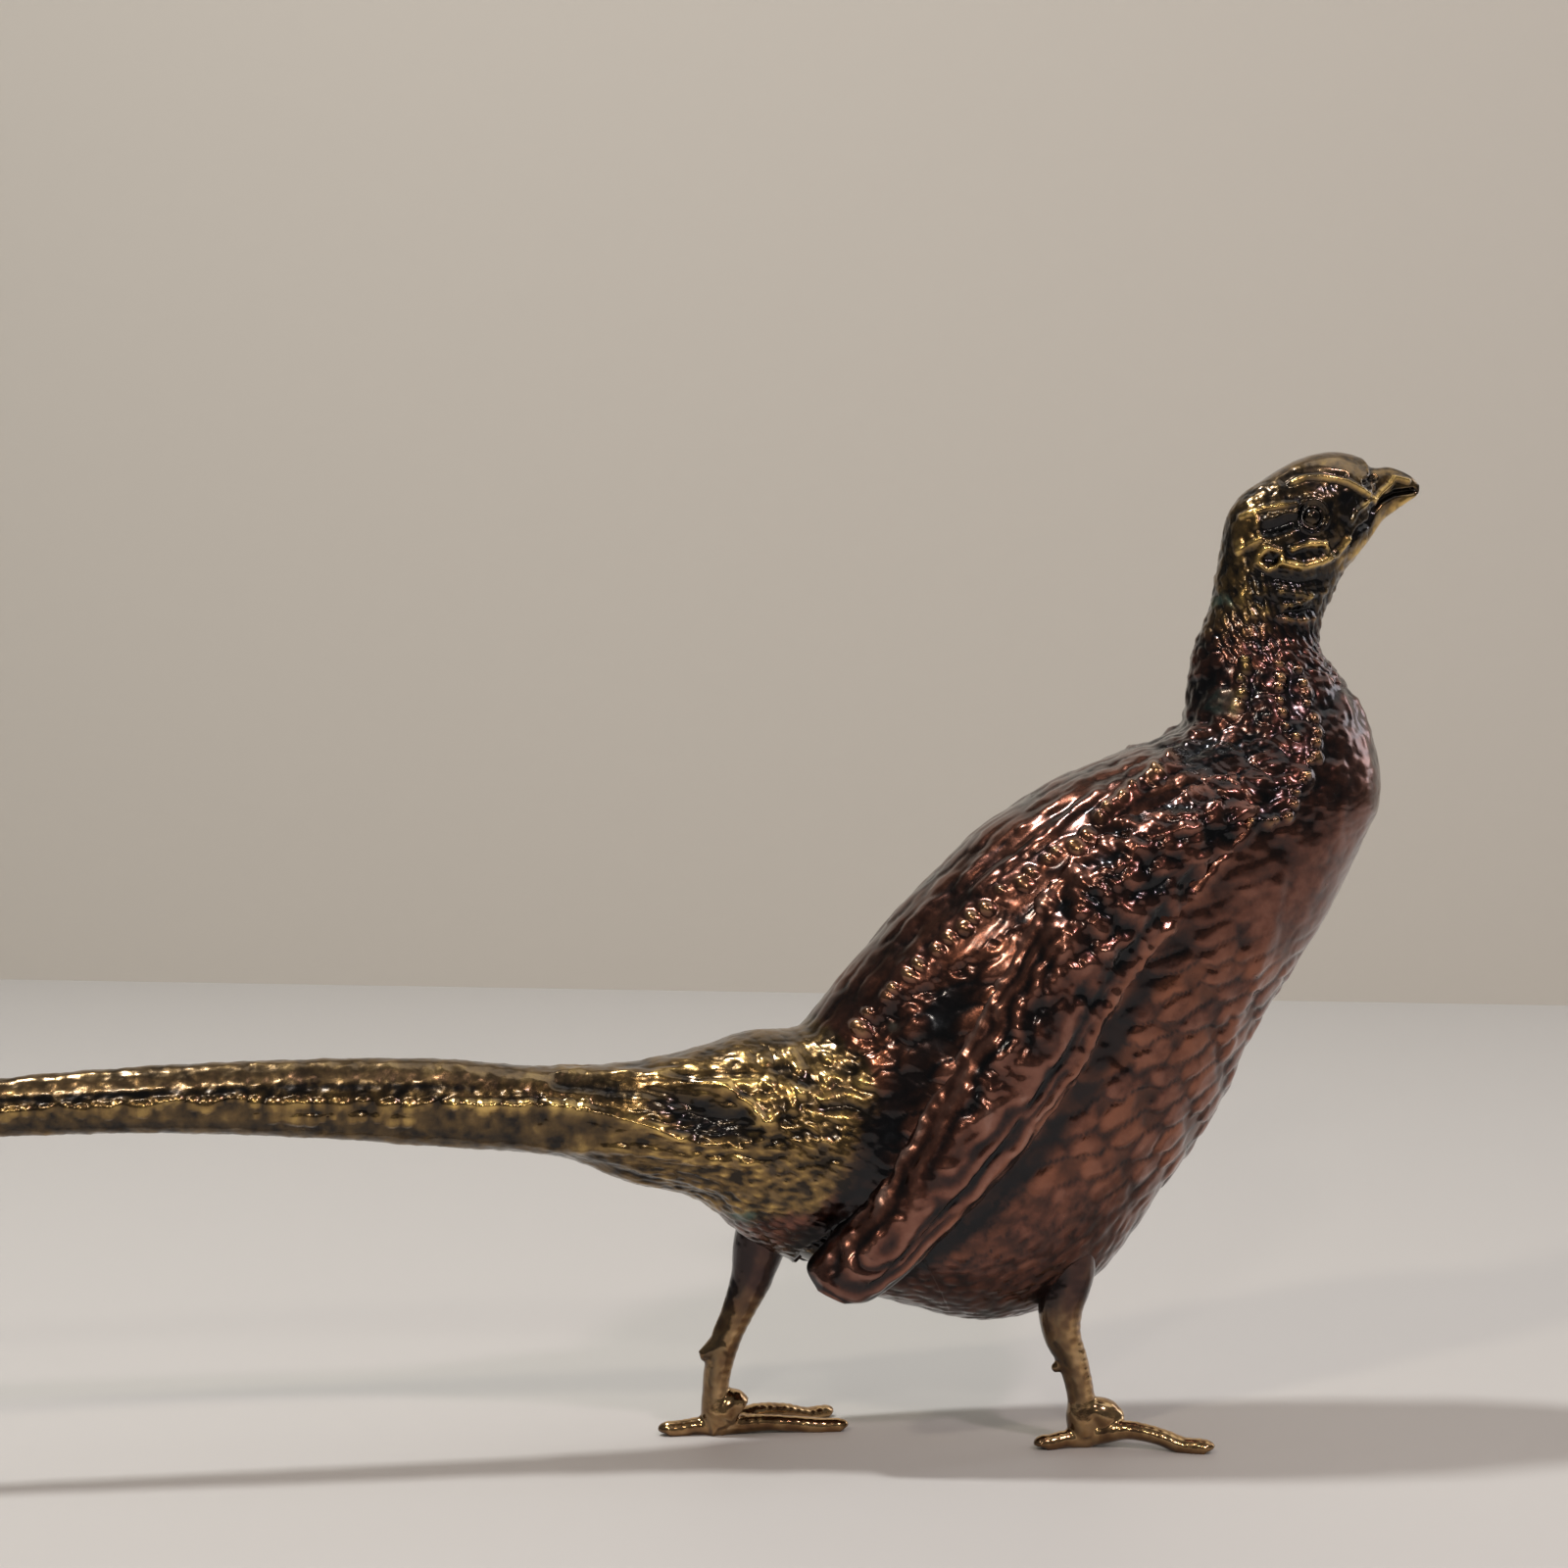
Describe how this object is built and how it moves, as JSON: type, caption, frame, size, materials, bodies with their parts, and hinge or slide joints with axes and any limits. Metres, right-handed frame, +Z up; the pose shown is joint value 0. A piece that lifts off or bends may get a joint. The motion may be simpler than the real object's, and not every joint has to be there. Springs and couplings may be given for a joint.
{
  "type": "bronze pheasant figurine",
  "caption": "Cast bronze figurine of a striding cock pheasant with a raised head, folded wings and a long level tail, standing on its own feet.",
  "frame": {"origin": "on the surface it stands on, under the middle of its bounding box", "axes": "+X towards the bill, +Y to the bird's left, +Z up"},
  "size_m": [0.3576, 0.0622, 0.1949],
  "materials": {
    "bronze": "glossy dark red-brown patina over cast relief, worn to golden brass on the head, legs, rump and tail"
  },
  "bodies": {
    "root": {"pheasant": "bronze"}
  },
  "joints": []
}
